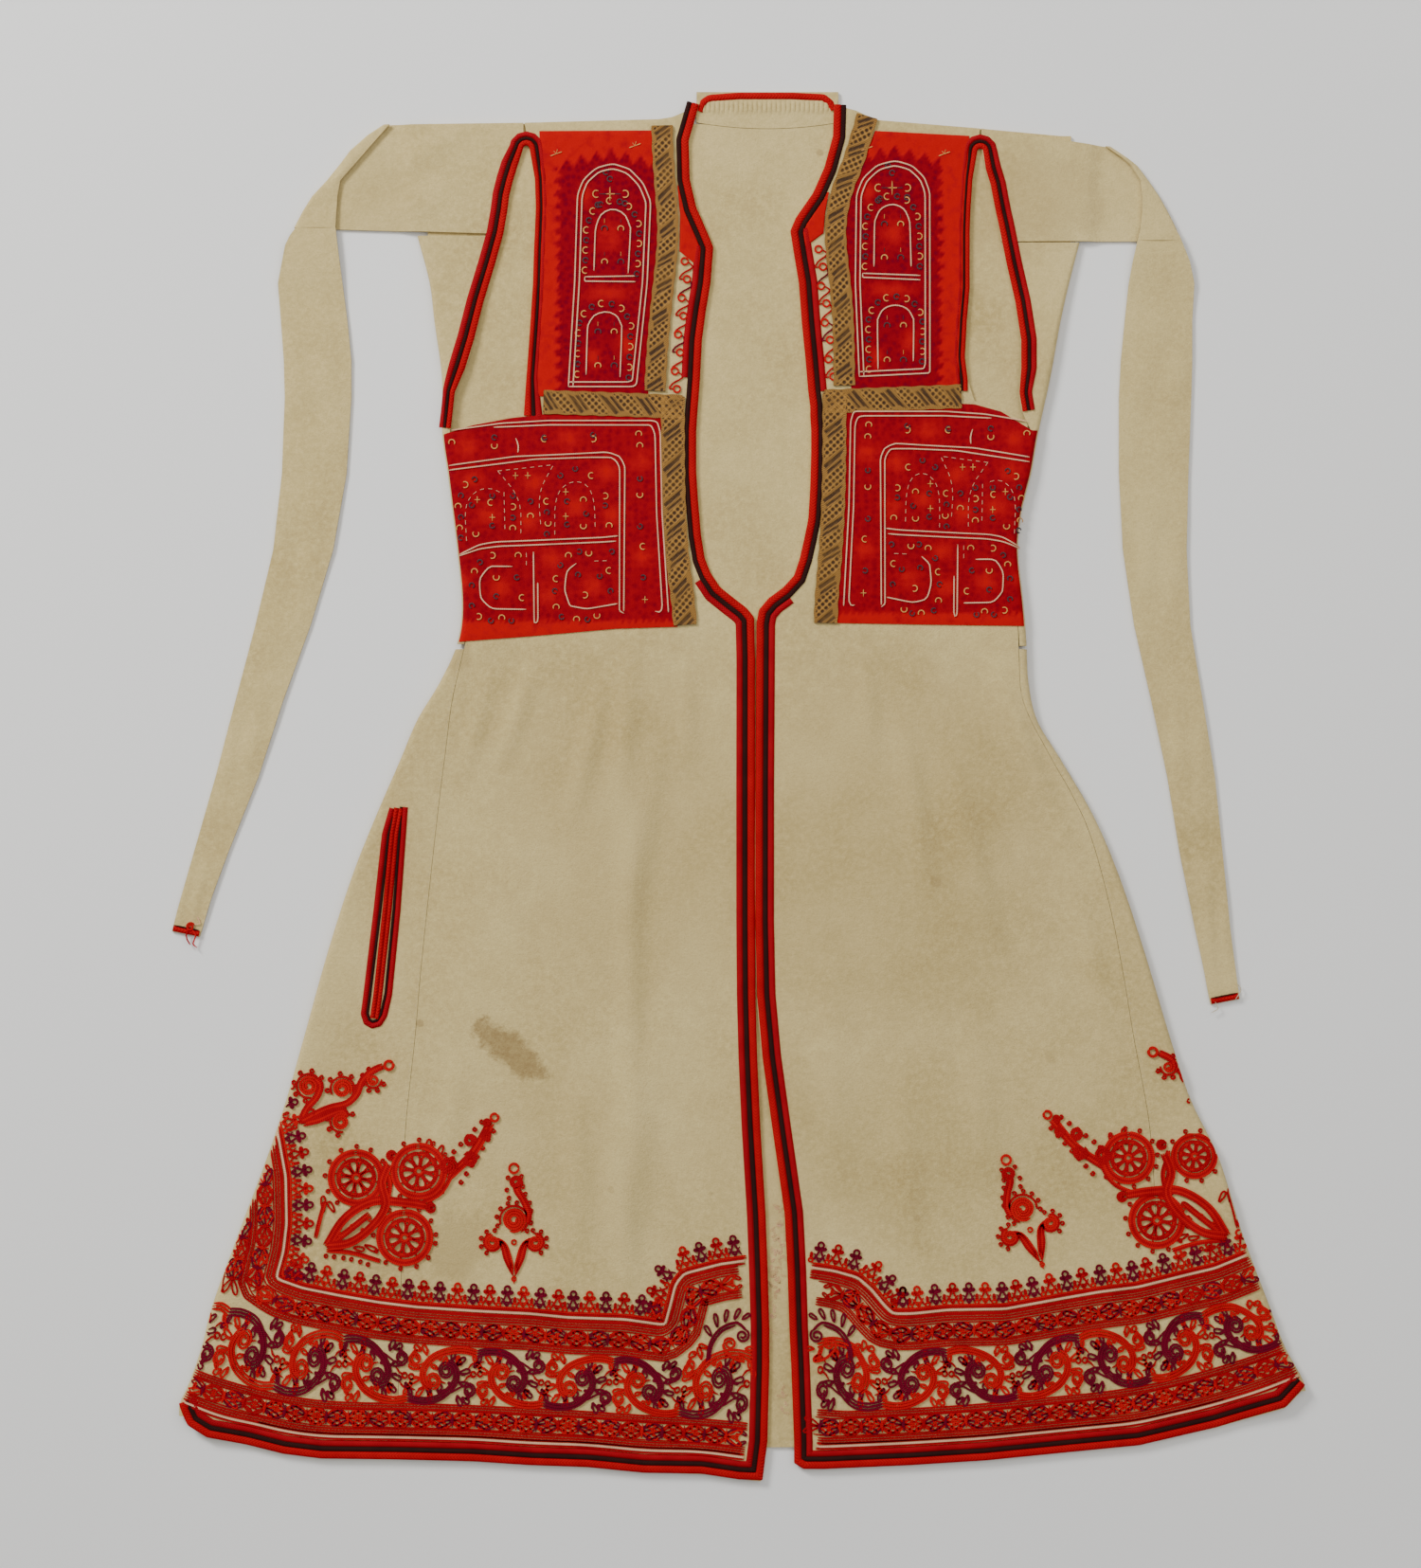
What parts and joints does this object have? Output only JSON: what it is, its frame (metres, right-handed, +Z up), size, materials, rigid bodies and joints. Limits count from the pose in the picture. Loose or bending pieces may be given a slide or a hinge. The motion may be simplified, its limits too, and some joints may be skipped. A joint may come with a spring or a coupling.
{
  "type": "embroidered coat",
  "caption": "Long wool coat with a deep neck opening, flared gored skirt, false hanging sleeves, red embroidered panels and a braided edge, lying flat.",
  "frame": {"origin": "on the surface that the coat lies on, under the middle of its outline", "axes": "+Z up through the front, +Y from the hem towards the collar, +X towards the right-hand side as seen from above"},
  "size_m": [0.8365, 1.0248, 0.0101],
  "materials": {
    "wool": "thick cream fulled wool with a matt nap",
    "bright_braid": "bright red wool braid",
    "black_braid": "brown-black wool cord",
    "dark_braid": "dark red wool braid",
    "red_cloth": "red cloth covered with silk embroidery",
    "metal_lace": "woven lace of tarnished gilt thread",
    "stitches": "raised red wool embroidery"
  },
  "bodies": {
    "root": {"back": "wool", "collar": "wool", "collar_braid": "bright_braid", "pocket_binding": "dark_braid", "pocket_welt": "bright_braid", "front_left": "wool", "gore_left": "wool", "sleeve_left": "wool", "sleeve_end_left": "bright_braid", "edge_bright_left": "bright_braid", "edge_black_left": "black_braid", "edge_dark_left": "dark_braid", "neck_dark_left": "dark_braid", "neck_wedge_left": "red_cloth", "armhole_bright_left": "bright_braid", "armhole_black_left": "black_braid", "armhole_dark_left": "dark_braid", "bib_left": "red_cloth", "waist_panel_left": "red_cloth", "galloon_upper_left": "metal_lace", "galloon_corner_left": "metal_lace", "hem_border_left": "stitches", "front_right": "wool", "gore_right": "wool", "sleeve_right": "wool", "sleeve_end_right": "bright_braid", "edge_bright_right": "bright_braid", "edge_black_right": "black_braid", "edge_dark_right": "dark_braid", "neck_dark_right": "dark_braid", "neck_wedge_right": "red_cloth", "armhole_bright_right": "bright_braid", "armhole_black_right": "black_braid", "armhole_dark_right": "dark_braid", "bib_right": "red_cloth", "waist_panel_right": "red_cloth", "galloon_upper_right": "metal_lace", "galloon_corner_right": "metal_lace", "hem_border_right": "stitches", "rosette_left_1": "stitches", "rosette_left_2": "stitches", "rosette_left_3": "stitches", "rosette_right_1": "stitches", "rosette_right_2": "stitches"}
  },
  "joints": []
}
